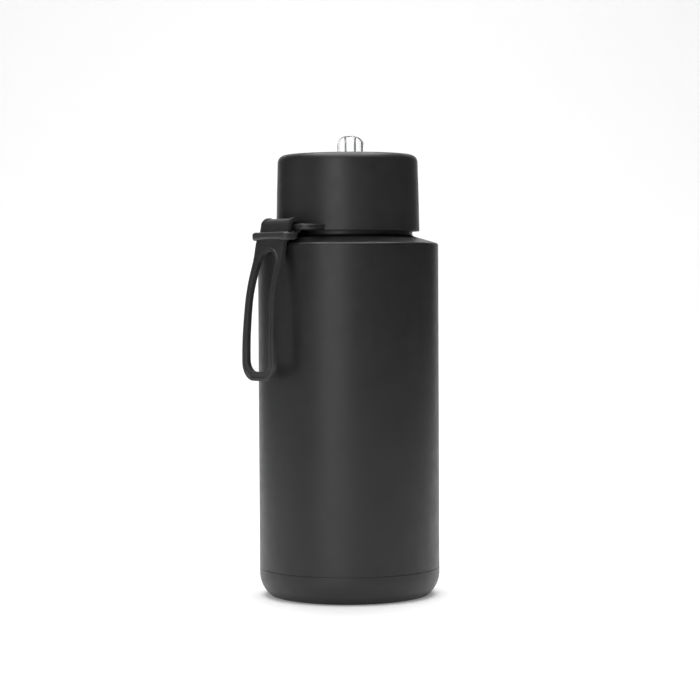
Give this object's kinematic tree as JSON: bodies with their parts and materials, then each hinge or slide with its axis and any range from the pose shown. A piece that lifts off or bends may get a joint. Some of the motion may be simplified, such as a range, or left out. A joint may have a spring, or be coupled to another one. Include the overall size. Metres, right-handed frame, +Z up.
{
  "type": "insulated water bottle",
  "caption": "Double-wall vacuum bottle with a screw lid, a clear fold-down drinking spout in the lid's recess, and a rubber carry strap hanging from a bar on the lid.",
  "frame": {"origin": "on the bottle's axis, at the flat underside of the base pad, where the bottle stands", "axes": "+Z up along the bottle's axis; -X towards the bar and strap on the lid; the spout's front is 40 degrees round from -X towards -Y"},
  "size_m": [0.1036, 0.093, 0.2371],
  "materials": {
    "powder_coat": "matte black powder coat with a very fine texture",
    "plain_steel": "satin stainless steel",
    "lid_plastic": "matte black moulded plastic",
    "rubber": "satin black rubber",
    "silicone": "translucent food-grade silicone",
    "clear_plastic": "clear moulded plastic",
    "solder_glass": "fused sealing glass"
  },
  "bodies": {
    "bottle": {"outer_shell": "powder_coat", "outer_base": "powder_coat", "base_pad": "rubber", "middle_base": "plain_steel", "vacuum_seal": "solder_glass", "getter": "plain_steel", "inner_liner": "plain_steel", "inner_base": "plain_steel"},
    "gasket": {"mouth_gasket": "silicone"},
    "lid": {"lid_shell": "lid_plastic", "lid_core": "lid_plastic", "lid_tray": "lid_plastic", "port_seal": "silicone", "spout_seat": "silicone", "spout_pin_left": "plain_steel", "spout_pin_right": "plain_steel", "vent_valve": "silicone", "straw_socket": "silicone", "straw": "clear_plastic"},
    "spout": {"spout": "clear_plastic"},
    "strap": {"strap": "rubber", "strap_keeper": "lid_plastic"}
  },
  "joints": [
    {"name": "lid_rise", "type": "slide", "parent": "bottle", "child": "gasket", "axis": [0, 0, 1], "range_m": [0, 0.0071]},
    {"name": "lid_turn", "type": "hinge", "parent": "gasket", "child": "lid", "pos_m": [0, 0, 0.2], "axis": [0, 0, 1], "range_deg": [0, 420]},
    {"name": "spout_flip", "type": "hinge", "parent": "lid", "child": "spout", "pos_m": [0.00559, 0.00469, 0.218], "axis": [0.6428, -0.766, 0], "range_deg": [0, 88]},
    {"name": "strap_swing", "type": "hinge", "parent": "lid", "child": "strap", "pos_m": [-0.04175, 0, 0.1896], "axis": [0, 1, 0], "range_deg": [0, 135]}
  ],
  "couplings": [
    {"joint": "lid_rise", "follows": "lid_turn", "m_per_rad": 0.00095493}
  ]
}
